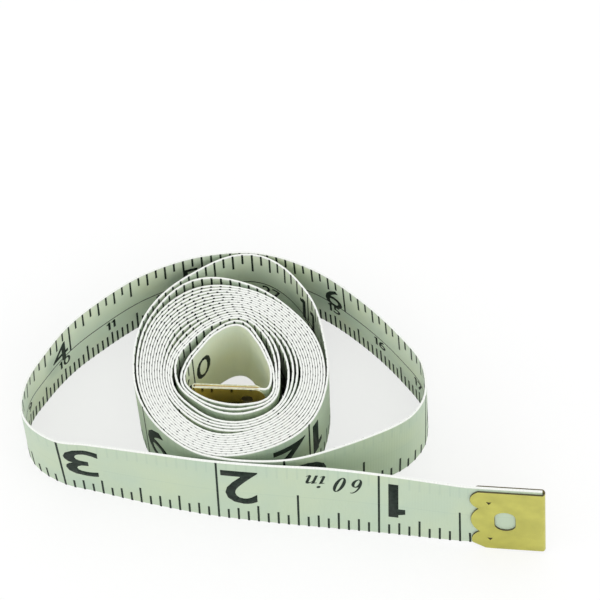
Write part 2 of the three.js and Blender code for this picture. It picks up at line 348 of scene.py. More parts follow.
def turn_radius(turned):
    """The winding's radius at an angle turned from its outer start, in millimetres."""
    turns = sorted(TURN_RADII)
    columns = np.array([TURN_RADII[turn] for turn in turns]).T
    rows = np.array([np.interp(np.arange(turns[-1] + 1), turns, column) for column in columns])
    radii = rows.T.ravel()
    place = turned / TURN_STEP
    k = np.clip(np.floor(place).astype(int), 0, len(radii) - 3)
    t = place - k
    a, b, c, d = (radii[np.maximum(k + step, 0)] for step in (-1, 0, 1, 2))
    bend = (2 * a - 5 * b + 4 * c - d) * t**2 + (3 * b - 3 * c + d - a) * t**3
    return b + ((c - a) * t + bend) / 2


def turn_point(turned):
    """Points of the winding from the coil's centre, in millimetres."""
    angle = np.radians(JOIN_ANGLE - turned)
    radius = turn_radius(turned)
    return np.stack([radius * np.cos(angle), radius * np.sin(angle), 0 * angle], axis=-1)


def winding_line():
    """The winding with the round corner and the chord that carries the inner tip."""
    spiral = turn_point(np.arange(0, TURNED + 0.5, 1.0))
    heading = spiral[-1] - spiral[-2]
    heading *= CORNER_REACH / np.linalg.norm(heading)
    tilt = math.radians(CHORD_TILT)
    along = np.array([math.cos(tilt), math.sin(tilt), 0])
    start = np.array([*CHORD_MIDDLE, 0]) - along * CHORD_LENGTH / 2
    corners = [spiral[-1], spiral[-1] + heading, start - along * CORNER_REACH, start]
    t = np.linspace(0, 1, CORNER_PARTS + 1)[1:, None]
    corner = np.hstack([(1 - t) ** 3, 3 * (1 - t) ** 2 * t, 3 * (1 - t) * t**2, t**3]) @ np.array(corners)
    chord = start + along * np.linspace(0, CHORD_LENGTH, CHORD_PARTS + 1)[1:, None]
    return np.vstack([spiral, corner, chord])


def measured(points):
    """How far along a line each of its points lies."""
    steps = np.linalg.norm(np.diff(points[:, :2], axis=0), axis=1)
    return np.concatenate([[0], np.cumsum(steps)])


def station_points(stations, width, right, near):
    """Stations as points, with their reach to the right and to the front."""
    x, y, lean = np.array(stations).T
    x *= np.where(x < 0, LEFT_REACH, right)
    y *= np.where(y < 0, near, BACK_REACH)
    return np.stack([x, y, lean * width], axis=-1)


def run_line(width):
    """The run from the free end's tip to the coil, with the lean of the top as third value."""
    front = station_points(FRONT_STATIONS, width, TIP_REACH, FRONT_REACH)
    rear = station_points(REAR_STATIONS, width, RIGHT_REACH, NEAR_REACH)
    ends = turn_point(np.array([0, JOIN_AIM]))
    points = catmull_rom(np.vstack([front, rear, ends]), SPAN_PARTS)[:-SPAN_PARTS]
    reach = measured(points)
    on_bed = reach < TIP_BED
    for axis, held in enumerate((0, 0, LEAN_HELD)):
        ends = (points[0, axis], np.interp(TIP_BED, reach, points[:, axis]))
        points[on_bed, axis] = np.interp(reach[on_bed], (held, TIP_BED), ends)
    return points


class TapeLine:
    """The tape's middle line on the table, onto which flat shapes are laid."""

    def __init__(self, width):
        self.width = width
        run = run_line(width / MM)
        whole = np.vstack([run, winding_line()[1:]])
        reach = measured(whole)
        self.length = reach[-1] * MM
        self.reach = np.arange(0, reach[-1], LINE_STEP)
        places = [np.interp(self.reach, reach, whole[:, axis]) for axis in range(3)]
        along = np.gradient(np.array(places[:2]), axis=1)
        along /= np.linalg.norm(along, axis=0)
        distances, degrees = zip(*CLIMB)
        tilt = np.radians(np.interp(self.reach, distances, degrees))
        rise = np.cumsum(np.tan(np.maximum(tilt, 0))[::-1])[::-1] * LINE_STEP
        self.table = np.array([*places, *along, tilt, rise])

    def lay(self, flat):
        """Turns flat places into real ones."""
        reach = flat[:, 0] / MM
        rows = [np.interp(reach, self.reach, row) for row in self.table]
        x, y, lean, along_x, along_y, tilt, rise = rows
        beyond = np.clip(reach - self.reach[-1], 0, None) + np.clip(reach, None, 0)
        ahead = flat[:, 1] * np.sin(tilt) + beyond * MM
        inward = flat[:, 2] + lean * MM * flat[:, 1] / self.width
        size = np.hypot(along_x, along_y)
        along_x, along_y = along_x / size, along_y / size
        return np.column_stack([
            (x + COIL_CENTRE[0]) * MM + along_x * ahead + along_y * inward,
            (y + COIL_CENTRE[1]) * MM + along_y * ahead - along_x * inward,
            flat[:, 1] * np.cos(tilt) + rise * MM,
        ])

    def lay_piece(self, piece):
        """Lays a flat object onto the line."""
        mesh = piece.data
        flat = np.empty(len(mesh.vertices) * 3)
        mesh.vertices.foreach_get("co", flat)
        mesh.vertices.foreach_set("co", self.lay(flat.reshape(-1, 3)).ravel())
        mesh.update()

    def foot(self, reach):
        """The place of the tape's lower edge at a distance in millimetres."""
        return tuple(float(value) for value in self.lay(np.array([[reach * MM, 0, 0]]))[0])


def finished_mesh(name, bm):
    """Makes a mesh of a finished bmesh."""
    mesh = bpy.data.meshes.new(name)
    bm.to_mesh(mesh)
    bm.free()
    return mesh


def new_piece(name, bm, materials):
    """Makes an object of a finished bmesh, at the origin, with its materials."""
    mesh = finished_mesh(name, bm)
    for material in materials:
        mesh.materials.append(material)
    piece = bpy.data.objects.new(name, mesh)
    bpy.context.scene.collection.objects.link(piece)
    return piece


def thicken(bm, low, high):
    """Turns a flat sheet into a closed body between two depths."""
    bmesh.ops.solidify(bm, geom=bm.faces[:], thickness=high - low)
    depths = [vert.co.z for vert in bm.verts]
    middle = (min(depths) + max(depths)) / 2
    for vert in bm.verts:
        vert.co.z = high if vert.co.z > middle else low
    bmesh.ops.recalc_face_normals(bm, faces=bm.faces)


def flat_grid(along, across):
    """A flat sheet with a vertex at each of the places along and across the tape."""
    bm = bmesh.new()
    bmesh.ops.create_grid(bm, x_segments=len(along) - 1, y_segments=len(across) - 1, size=1)
    for vert in bm.verts:
        column = round((vert.co.x + 1) / 2 * (len(along) - 1))
        row = round((vert.co.y + 1) / 2 * (len(across) - 1))
        vert.co = (along[column], across[row], 0)
    return bm


def arc(middle, halves, start, end, parts):
    """Points on an upright oval, from one angle to another in degrees."""
    angles = [math.radians(start + (end - start) * k / parts) for k in range(parts + 1)]
    return [(middle[0] + halves[0] * math.cos(a), middle[1] + halves[1] * math.sin(a)) for a in angles]


def oval(middle, halves, parts, start=0):
    """The points of a whole upright oval, from an angle in degrees."""
    return arc(middle, halves, start, start + 360, parts)[:-1]


def outline_edges(bm, points):
    """The edges of a closed flat outline."""
    verts = [bm.verts.new((x, y, 0)) for x, y in points]
    return [bm.edges.new((verts[k], verts[k - 1])) for k in range(len(verts))]


def fill(bm, edges):
    """Fills flat outlines, and leaves the room inside an inner one open."""
    bmesh.ops.triangle_fill(bm, use_beauty=True, use_dissolve=False, edges=edges)


def cut_across(bm, place):
    """Divides everything at a place along the tape."""
    geometry = bm.verts[:] + bm.edges[:] + bm.faces[:]
    bmesh.ops.bisect_plane(bm, geom=geometry, plane_co=(place, 0, 0), plane_no=(1, 0, 0))


class Nodes:
    """A new material or world, with short calls to add nodes to it."""

    def __init__(self, name, owners="materials"):
        self.owner = getattr(bpy.data, owners).new(name)
        self.owner.use_nodes = True
        self.tree = self.owner.node_tree
        self.shader = self.tree.nodes.get("Principled BSDF")

    def add(self, kind, inputs=None, **settings):
        node = self.tree.nodes.new("ShaderNode" + kind)
        for key, value in settings.items():
            setattr(node, key, value)
        for key, value in (inputs or {}).items():
            self.put(node.inputs[key], value)
        return node

    def put(self, socket, value):
        if isinstance(value, bpy.types.NodeSocket):
            self.tree.links.new(value, socket)
        else:
            socket.default_value = value

    def calc(self, operation, *values):
        return self.add("Math", dict(enumerate(values)), operation=operation).outputs[0]

    def ramp(self, value, first, last, low=0.3, high=0.7):
        """Goes from one colour at a low value to another at a high one."""
        node = self.add("ValToRGB", {"Fac": value})
        stops = node.color_ramp.elements
        stops[0].position = low
        stops[1].position = high
        stops[0].color = (*first, 1)
        stops[1].color = (*last, 1)
        return node.outputs["Color"]

    def own_place(self):
        """Places in the piece's own frame."""
        return self.add("TexCoord").outputs["Object"]

    def noise(self, spot, scale, detail=2):
        node = self.add("TexNoise", {"Vector": spot, "Scale": scale, "Detail": detail})
        return node.outputs["Fac"]

    def mix(self, share, first, second):
        node = self.add("Mix", {"Factor": share, 6: first, 7: second}, data_type="RGBA")
        return node.outputs[2]

    def mix_shaders(self, share, first, second):
        node = self.add("MixShader", {0: share, 1: first.outputs[0], 2: second.outputs[0]})
        return node.outputs[0]

    def clouded(self, spot, colour, low, high, scale, detail=2):
        """Gives the base colour soft clouds between two strengths of it."""
        colour = Vector(colour)
        clouds = self.noise(spot, scale, detail)
        self.set("Base Color", self.ramp(clouds, colour * low, colour * high))

    def set(self, name, value):
        self.put(self.shader.inputs[name], value)

    def bump(self, height, distance):
        node = self.add("Bump", {"Height": height, "Distance": distance})
        self.set("Normal", node.outputs["Normal"])


def cloth_material(sizes, side):
    """The coated face: satin, faintly clouded and woven, with the other face's print behind it."""
    nodes = Nodes("outer_face" if side == OUTER else "inner_face")
    spot = nodes.add("UVMap", uv_map="widths").outputs[0]
    # The inner face's colour carries painted light: it is lighter than the coating, to brighten the shade
    # inside the loops.
    face = Vector(sizes.outer_face if side == OUTER else sizes.inner_face)
    clouds = nodes.noise(spot, scale=1.4, detail=3)
    tone = nodes.ramp(clouds, face * Vector(COOL_CLOUD), face * Vector(WARM_CLOUD))
    scale = nodes.add("SeparateXYZ", {"Vector": nodes.add("UVMap", uv_map="scale").outputs[0]})
    inches, across = scale.outputs["X"], scale.outputs["Y"]
    if side == OUTER:
        share = ghost_ticks(nodes, inches, across)
    else:
        share = ghost_numerals(nodes, inches, across, spot)
    nodes.set("Base Color", nodes.mix(share, tone, (*sizes.ghost, 1)))
    nodes.set("Roughness", 0.45)
    weave = nodes.add("TexWave", {"Vector": spot, "Scale": 11.0, "Distortion": 0.6})
    nodes.bump(weave.outputs["Fac"], distance=0.000006)
    return nodes.owner


def ghost_ticks(nodes, inches, across):
    """Where the inner face's upper ticks and centre line show through on the outer face."""
    half_line, edge, half_centre_line = GHOST_TICK
    near = nodes.calc("PINGPONG", nodes.calc("MULTIPLY", inches, 16), 0.5)
    lines = nodes.calc("LESS_THAN", near, half_line)
    ticks = nodes.calc("MULTIPLY", lines, nodes.calc("GREATER_THAN", across, edge))
    away = nodes.calc("ABSOLUTE", nodes.calc("SUBTRACT", across, 0.5))
    middle = nodes.calc("LESS_THAN", away, half_centre_line)
    return nodes.calc("MULTIPLY", nodes.calc("MAXIMUM", ticks, middle), GHOST_TICK_STRENGTH)


def ghost_numerals(nodes, inches, across, spot):
    """Soft smudges where the outer face's tall numerals show through on the inner face."""
    squares = []
    for value, middle, half in zip((nodes.calc("FRACT", inches), across), GHOST_PATCH, GHOST_PATCH_HALVES):
        away = nodes.calc("DIVIDE", nodes.calc("SUBTRACT", value, middle), half)
        squares.append(nodes.calc("POWER", away, 2))
    reach = nodes.calc("MINIMUM", nodes.calc("ADD", *squares), 1)
    patch = nodes.calc("SUBTRACT", 1, reach)
    uneven = nodes.calc("MULTIPLY", patch, nodes.noise(spot, scale=5))
    return nodes.calc("MULTIPLY", uneven, GHOST_PATCH_STRENGTH)


def edge_material(sizes):
    """The cut edge: pale, with a fine grain of thread ends."""
    nodes = Nodes("cut_edge")
    spot = nodes.add("UVMap", uv_map="widths").outputs[0]
    nodes.clouded(spot, sizes.edge, 0.88, 1, scale=60)
    nodes.set("Roughness", 0.7)
    return nodes.owner


def ink_material(sizes):
    """Matt ink with slight unevenness."""
    nodes = Nodes("printing_ink")
    nodes.clouded(nodes.own_place(), sizes.ink, 0.7, 1.6, scale=1500)
    nodes.set("Roughness", 0.6)
    nodes.set("Specular IOR Level", 0.15)
    return nodes.owner


def brass_material(name, colour, smooth, rough):
    """Rolled brass sheet, a little clouded and scuffed."""
    nodes = Nodes(name)
    spot = nodes.own_place()
    nodes.clouded(spot, colour, 0.88, 1.06, scale=350, detail=4)
    nodes.set("Metallic", 1)
    scuffs = nodes.noise(spot, scale=900)
    gloss = nodes.add("MapRange", {"Value": scuffs, "To Min": smooth, "To Max": rough})
    nodes.set("Roughness", gloss.outputs["Result"])
    return nodes.owner


def tarnish_material(name, colour):
    """Dull metal: the dark kind is painted shade in the pressed marks and on the outer tip's edges, and
    the pale kind colours the inner tip's cut edges.
    """
    nodes = Nodes(name)
    nodes.clouded(nodes.own_place(), colour, 0.75, 1.15, scale=2000)
    nodes.set("Metallic", 0.6)
    nodes.set("Roughness", 0.5)
    return nodes.owner


def tape_columns(start, end, sizes):
    """Where a length of tape is divided along it, closer together at its ends."""
    first = math.floor(start / sizes.step) + 1
    last = math.ceil(end / sizes.step)
    near = [sizes.step * share for share in END_STEPS]
    ends = [start, end, *(start + x for x in near), *(end - x for x in near)]
    inner = [k * sizes.step for k in range(first, last)]
    clear = [x for x in inner if start + near[1] < x < end - near[1]]
    return sorted(ends + clear)


def flat_tape(start, end, sizes):
    """A flat length of tape as a closed body with softened edges."""
    along = tape_columns(start, end, sizes)
    strip = [0, sizes.softening, sizes.rim, sizes.width / 2]
    bm = flat_grid(along, strip + [sizes.width - place for place in strip[-2::-1]])
    half = sizes.thickness / 2
    thicken(bm, -half, half)
    for vert in bm.verts:
        if min(vert.co.y, sizes.width - vert.co.y) < sizes.softening / 2:
            vert.co.z *= SOFTENED
    bm.normal_update()
    for edge in bm.edges:
        edge.smooth = edge.calc_face_angle(0) < CREASE_ANGLE
    return bm


def dress_tape(piece, sizes):
    """Marks the faces of a flat length of tape, and where they lie on it and on its scale."""
    mesh = piece.data
    widths = mesh.uv_layers.new(name="widths")
    scale = mesh.uv_layers.new(name="scale")
    distances, places = zip(*PRINT_PLACES)
    for face in mesh.polygons:
        face.use_smooth = True
        bare = min(face.center.y, sizes.width - face.center.y) < sizes.rim
        cut = bare or abs(face.normal.z) < 0.5
        face.material_index = 2 if cut else int(face.normal.z > 0)
        for corner in face.loop_indices:
            x, y = mesh.vertices[mesh.loops[corner].vertex_index].co.xy
            inches = np.interp(x / MM, places, distances) / INCH
            widths.data[corner].uv = (x / sizes.width, y / sizes.width)
            scale.data[corner].uv = (inches, y / sizes.width)


def slot_outline(bm, middle, along, across):
    """A slotted hole's edges: two half rounds joined by straight sides."""
    radius = along / 2
    straight = (across - along) / 2
    points = []
    for side in (1, -1):
        centre = (middle[0], middle[1] + side * straight)
        points += arc(centre, (side * radius, side * radius), 0, 180, ARC_PARTS)
    return outline_edges(bm, points)


class TAPE_OT_stage(bpy.types.Operator):
    """Makes the camera, the floor, the lamps and the world"""

    bl_idname = "tape_measure.stage"
    bl_label = "Stage"

    def execute(self, context):
        sizes = context.scene.tape_stage
        make_camera(context.scene)
        make_floor(sizes)
        make_lamps(context.scene, sizes)
        make_world(context.scene)
        return {"FINISHED"}


def make_camera(scene):
    """The camera at the photograph's view."""
    down = math.radians(CAMERA_DOWN)
    level = Vector((*CAMERA_HEADING, 0)).normalized()
    look = level * math.cos(down) - Vector((0, 0, math.sin(down)))
    right = look.cross(Vector((0, 0, 1))).normalized()
    up = right.cross(look)
    lens = bpy.data.cameras.new("photo_camera")
    lens.sensor_width = SENSOR
    lens.lens = SENSOR * PHOTO_FOCAL_PIXELS / PHOTO_PIXELS
    lens.clip_start = 0.01
    lens.clip_end = 20
    camera = bpy.data.objects.new("photo_camera", lens)
    place = (Vector(CAMERA_FROM_COIL) + Vector((*COIL_CENTRE, 0))) * MM
    aim = Matrix((right, up, -look)).transposed().to_4x4()
    roll = Matrix.Rotation(math.radians(CAMERA_ROLL), 4, "Z")
    camera.matrix_world = Matrix.Translation(place) @ aim @ roll
    scene.collection.objects.link(camera)
    scene.camera = camera


def make_floor(sizes):
    """A plain pale floor just below the print that runs over the lower edge."""
    bm = bmesh.new()
    place = Matrix.Translation((0, 0, -FLOOR_DROP * MM))
    bmesh.ops.create_grid(bm, x_segments=1, y_segments=1, size=sizes.floor / 2, matrix=place)
    nodes = Nodes("floor_paper")
    paper = Vector(sizes.paper)
    clouds = nodes.noise(nodes.own_place(), scale=40)
    nodes.set("Base Color", nodes.ramp(clouds, paper * 0.99, paper, low=0, high=1))
    nodes.set("Roughness", 0.9)
    nodes.set("Specular IOR Level", 0.1)
    white = nodes.add("Emission", {"Color": (1, 1, 1, 1), "Strength": 1})
    seen = nodes.calc("MULTIPLY", nodes.add("LightPath").outputs["Is Camera Ray"], FLOOR_WHITE)
    both = nodes.mix_shaders(seen, nodes.shader, white)
    nodes.put(nodes.tree.nodes["Material Output"].inputs["Surface"], both)
    new_piece("floor", bm, [nodes.owner])


def make_lamps(scene, sizes):
    """Soft lamps in front and at both sides."""
    for name, place, share, size in LAMPS:
        lamp = bpy.data.lights.new(name, "AREA")
        lamp.shape = "DISK"
        lamp.size = size
        lamp.energy = sizes.lamp * share
        holder = bpy.data.objects.new(name, lamp)
        holder.location = place
        holder.rotation_euler = (-Vector(place)).to_track_quat("-Z", "Y").to_euler()
        scene.collection.objects.link(holder)


def make_world(scene):
    """Soft light from all round, and plain white where it is seen or mirrored."""
    nodes = Nodes("studio", "worlds")
    nodes.tree.nodes.clear()
    ray = nodes.add("LightPath").outputs
    seen = nodes.calc("MAXIMUM", ray["Is Camera Ray"], ray["Is Glossy Ray"])
    seen = nodes.calc("MAXIMUM", seen, ray["Is Transmission Ray"])
    soft = nodes.add("Background", {"Color": (1, 1, 1, 1), "Strength": SOFT_LIGHT})
    white = nodes.add("Background", {"Color": (1, 1, 1, 1), "Strength": 1})
    nodes.add("OutputWorld", {"Surface": nodes.mix_shaders(seen, soft, white)})
    scene.world = nodes.owner


class TAPE_OT_tape(bpy.types.Operator):
    """Makes the tape in three lengths: the free end, the bend and the rest"""

    bl_idname = "tape_measure.tape"
    bl_label = "Tape"

    def execute(self, context):
        sizes = context.scene.tape_cloth
        line = TapeLine(sizes.width)
        faces = [cloth_material(sizes, OUTER), cloth_material(sizes, INNER), edge_material(sizes)]
        places = [sizes.setback, FREE_UNTIL * MM, BEND_UNTIL * MM, line.length - sizes.setback]
        names = ["tape_front", "tape_bend", "tape_wound"]
        pieces = {}
        for name, start, end in zip(names, places, places[1:]):
            piece = new_piece(name, flat_tape(start, end, sizes), faces)
            dress_tape(piece, sizes)
            line.lay_piece(piece)
            pieces[name] = piece
        ride_by_length(line, *(pieces[name] for name in names))
        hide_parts("tape_free_end")
        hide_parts("tape_coil", "tape_outer_loop")
        return {"FINISHED"}


def ride_by_length(line, free, bend, wound):
    """Lets the first of three lengths of something on the tape follow the free end and the last the coil;
    the bend between them stays where it is laid.
    """
    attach(free, "free_end")
    line.foot(BEND_UNTIL)
    line.foot(FREE_UNTIL)
    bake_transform(bend)
    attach(wound, "coil")


def printed(distance):
    """Where a distance on the scale lies along the tape, from millimetres to metres."""
    distances, places = zip(*PRINT_PLACES)
    return float(np.interp(distance, distances, places)) * MM


class Print:
    """The print of one face, in the tape's three lengths."""

    def __init__(self, side, tape, sizes):
        self.side = side
        self.tape = tape
        self.sizes = sizes
        self.lengths = [bmesh.new(), bmesh.new(), bmesh.new()]

    def length_at(self, place):
        """The bmesh of the length in which a place along the tape lies."""
        if place < FREE_UNTIL * MM:
            return self.lengths[0]
        return self.lengths[1 if place < BEND_UNTIL * MM else 2]

    def bar(self, place, width, low, high):
        """A straight printed line across the tape, between two heights."""
        half = self.tape.thickness / 2
        depth = self.sizes.proud + self.sizes.sunk
        middle = self.side * (half + (self.sizes.proud - self.sizes.sunk) / 2)
        matrix = Matrix.Translation((place, (low + high) / 2, middle))
        matrix @= Matrix.Diagonal((width, high - low, depth, 1))
        bmesh.ops.create_cube(self.length_at(place), size=1, matrix=matrix)

    def top(self, place):
        """How high a line may reach: short of the free end's upper edge, and over the coil's."""
        if place < BEND_UNTIL * MM:
            return self.tape.width - self.tape.rim
        if place < COIL_FROM * MM:
            return self.tape.width - self.tape.softening
        return self.tape.width + self.sizes.bleed

    def tick(self, distance, size, from_top=False):
        """A line from one edge, running a little over it."""
        place = printed(distance)
        if from_top:
            self.bar(place, self.sizes.line, self.tape.width - size * MM, self.top(place))
        else:
            self.bar(place, self.sizes.line, -self.sizes.bleed, size * MM)

    def stamp(self, glyph, x, y):
        """Puts a glyph at a place: upright on the inner face, upside down on the outer one."""
        turn = Matrix.Rotation(math.pi if self.side == OUTER else 0, 4, "X")
        copy = glyph.copy()
        copy.transform(Matrix.Translation((x, y, self.side * self.tape.thickness / 2)) @ turn)
        self.length_at(x).from_mesh(copy)
        bpy.data.meshes.remove(copy)

    def finish(self, line, name, ink):
        """Makes the three lengths into objects and lays them onto the tape's line."""
        pieces = []
        for bm, length_name in zip(self.lengths, ("front", "bend", "wound")):
            piece = new_piece(f"{name}_{length_name}", bm, [ink])
            line.lay_piece(piece)
            pieces.append(piece)
        ride_by_length(line, *pieces)


def font_letter(bm, text, weight):
    """A letter of the plain built-in font, flat and filled."""
    letters = bpy.data.curves.new("letters", "FONT")
    letters.body = text
    letters.offset = weight
    letters.resolution_u = 3
    holder = bpy.data.objects.new("letters", letters)
    bpy.context.scene.collection.objects.link(holder)
    graph = bpy.context.evaluated_depsgraph_get()
    outline = bpy.data.meshes.new_from_object(holder.evaluated_get(graph))
    bpy.data.objects.remove(holder)
    bm.from_mesh(outline)
    bpy.data.meshes.remove(outline)
    bmesh.ops.remove_doubles(bm, verts=bm.verts, dist=0.0005)
    bmesh.ops.dissolve_limit(bm, angle_limit=0.02, verts=bm.verts, edges=bm.edges)


def numeral_mesh(text, height, sizes, weight):
    """A numeral with its foot at the origin: plain letters, and a four with a clear opening."""
    bm = bmesh.new()
    if text == "4":
        fill(bm, outline_edges(bm, FOUR_OUTLINE) + outline_edges(bm, FOUR_ROOM))
    else:
        font_letter(bm, text, weight)
    if text == "1":
        left = min(vert.co.x for vert in bm.verts)
        bm.faces.new([bm.verts.new((left + x, y, 0)) for x, y in ONE_FLAG])
    scale = height / FONT_HEIGHT
    wide, tall = NUMERAL_SHAPES.get(text, (1, 1))
    bmesh.ops.scale(bm, vec=(wide * scale, tall * scale, scale), verts=bm.verts)
    return inked(bm, sizes)


def inked(bm, sizes):
    """Gives flat letters their thickness, in slices that let them bend with the tape."""
    left = min(vert.co.x for vert in bm.verts)
    bmesh.ops.translate(bm, vec=(-left, 0, 0), verts=bm.verts)
    right = max(vert.co.x for vert in bm.verts)
    bm.normal_update()
    bmesh.ops.reverse_faces(bm, faces=[face for face in bm.faces if face.normal.z < 0])
    bmesh.ops.triangulate(bm, faces=bm.faces)
    bmesh.ops.beautify_fill(bm, faces=bm.faces, edges=bm.edges)
    for k in range(1, math.ceil(right / sizes.slice)):
        cut_across(bm, k * sizes.slice)
    bmesh.ops.remove_doubles(bm, verts=bm.verts, dist=SLICE_WELD * MM)
    bmesh.ops.triangulate(bm, faces=bm.faces)
    thicken(bm, -sizes.sunk, sizes.proud)
    mesh = finished_mesh("glyph", bm)
    mesh["width"] = right
    return mesh


def digits(height, sizes, weight):
    """All ten numerals of one height and weight."""
    return {text: numeral_mesh(text, height, sizes, weight) for text in "0123456789"}


class TAPE_OT_print(bpy.types.Operator):
    """Prints the scales on both faces of the tape"""

    bl_idname = "tape_measure.print"
    bl_label = "Print"

    def execute(self, context):
        tape = context.scene.tape_cloth
        sizes = context.scene.tape_print
        line = TapeLine(tape.width)
        ink = ink_material(sizes)
        outer = Print(OUTER, tape, sizes)
        print_outer_inches(outer)
        print_words(outer)
        outer.finish(line, "outer_scale", ink)
        inner = Print(INNER, tape, sizes)
        print_inner_inches(inner)
        print_centimetres(inner)
        print_centre_line(inner)
        inner.finish(line, "inner_scale", ink)
        return {"FINISHED"}


def print_outer_inches(face):
    """Ticks on the lower edge, a line over the whole width at each inch, and tall numerals."""
    for step in range(1, SCALE_INCHES * 16 + 1):
        distance = step * INCH / 16
        if distance > HIDDEN_IN_TIP:
            size = OUTER_TICKS.get(math.gcd(step, 16), face.top(printed(distance)) / MM)
            face.tick(distance, SHORT_HALVES.get(step / 16, size))
    shapes = digits(face.sizes.outer_numeral, face.sizes, OUTER_WEIGHT)
    print_inch_numerals(face, shapes, face.tape.width - face.sizes.outer_margin, OUTER_GAPS)


def print_inch_numerals(face, shapes, foot, gaps):
    """One digit goes just before its line, and two go one on each side of it."""
    gap, wide_gap = (size * MM for size in gaps)
    for inch in range(1, SCALE_INCHES + 1):
        place = printed(inch * INCH)
        before, *after = (shapes[digit] for digit in str(inch))
        near = wide_gap if after else gap
        if inch == 1:
            near = GAP_AT_ONE * MM
        face.stamp(before, place - near - before["width"], foot)
        for digit in after:
            face.stamp(digit, place + wide_gap, foot)


def print_words(face):
    """The tape's length in inches, in slanted letters after the first inch."""
    six = arc(OVAL, OVAL, 70, 270, 13) + arc(BOWL, BOWL, 285, 485, 13)
    six += arc(HORN_MIDDLE, HORN, 180, 75, 7)
    letters = [
        [six, oval(BOWL_ROOM_MIDDLE, BOWL_ROOM, OVAL_PARTS)],
        [oval(OVAL, OVAL, OVAL_PARTS), oval(OVAL, OVAL_ROOM, OVAL_PARTS)],
        [I_STEM, oval(I_DOT_MIDDLE, I_DOT, OVAL_PARTS)],
        [N_OUTLINE],
    ]
    bm = bmesh.new()
    for start, wide, outlines in zip(LETTER_STARTS, LETTER_SCALES, letters):
        edges = []
        for outline in outlines:
            points = [(start + wide * (x + SLANT * y), min(wide, 1) * y) for x, y in outline]
            edges += outline_edges(bm, points)
        fill(bm, edges)
    bmesh.ops.scale(bm, vec=[face.sizes.words] * 3, verts=bm.verts)
    foot = face.tape.width - WORDS_MARGIN * MM
    face.stamp(inked(bm, face.sizes), printed(INCH) + WORDS_GAP * MM, foot)


def print_inner_inches(face):
    """Ticks on the upper edge, and numerals that stand on the centre line."""
    tape, sizes = face.tape, face.sizes
    for step in range(1, SCALE_INCHES * 16 + 1):
        distance = step * INCH / 16
        if distance > HIDDEN_IN_TIP:
            size = INNER_TICKS.get(math.gcd(step, 16), tape.width / 2 / MM)
            face.tick(distance, size, from_top=True)
    shapes = digits(sizes.inner_numeral, sizes, INNER_WEIGHT)
    print_inch_numerals(face, shapes, tape.width / 2 - INNER_FOOT * MM, INNER_GAPS)


def print_centimetres(face):
    """Ticks on the lower edge, and small numerals above each centimetre."""
    for millimetre in range(math.ceil(HIDDEN_IN_TIP), SCALE_CENTIMETRES * 10 + 1):
        face.tick(millimetre, METRIC_TICKS[math.gcd(millimetre, 10)])
    shapes = digits(face.sizes.centimetre_numeral, face.sizes, CENTIMETRE_WEIGHT)
    space = DIGIT_SPACE * MM
    foot = (METRIC_TICKS[10] + DIGIT_RISE) * MM
    for centimetre in range(1, SCALE_CENTIMETRES + 1):
        parts = [shapes[digit] for digit in str(centimetre)]
        width = sum(part["width"] for part in parts) + space * (len(parts) - 1)
        x = printed(centimetre * 10) - width / 2
        for part in parts:
            face.stamp(part, x, foot)
            x += part["width"] + space


def print_centre_line(face):
    """The long line at half the width, which ends with the scale."""
    tape, sizes = face.tape, face.sizes
    cuts = [HIDDEN_IN_TIP * MM, FREE_UNTIL * MM, BEND_UNTIL * MM, printed(SCALE_INCHES * INCH)]
    for start, end in zip(cuts, cuts[1:]):
        edges = [(tape.width + side * sizes.centre_line) / 2 for side in (-1, 1)]
        bm = flat_grid(tape_columns(start, end, tape), edges)
        half = tape.thickness / 2
        thicken(bm, half - sizes.sunk, half + sizes.proud)
        strip = finished_mesh("centre_line", bm)
        face.length_at(start).from_mesh(strip)
        bpy.data.meshes.remove(strip)


def tip_outline(bm, sizes, end):
    """The unfolded plate's edges: scallops at both ends, and a cut lower corner on each."""
    cusp = end - sizes.scallop
    cut_along, cut_up = (sizes.chamfer * share for share in CUT_SHARES)
    points = [(cusp - cut_along, 0)]
    foot = 0.0
    for share in SCALLOP_SHARES[::-1]:
        half = share * sizes.height / 2
        radius = (half**2 + sizes.scallop**2) / (2 * sizes.scallop)
        sweep = math.degrees(math.asin(min(half / radius, 1)))
        middle = (cusp + sizes.scallop - radius, foot + half)
        scallop = arc(middle, (radius, radius), -sweep, sweep, ARC_PARTS)
        points += [(x, y) for x, y in scallop[1 if foot else 0 :] if y > cut_up]
        foot += 2 * half
    return outline_edges(bm, points + [(-x, y) for x, y in reversed(points)])


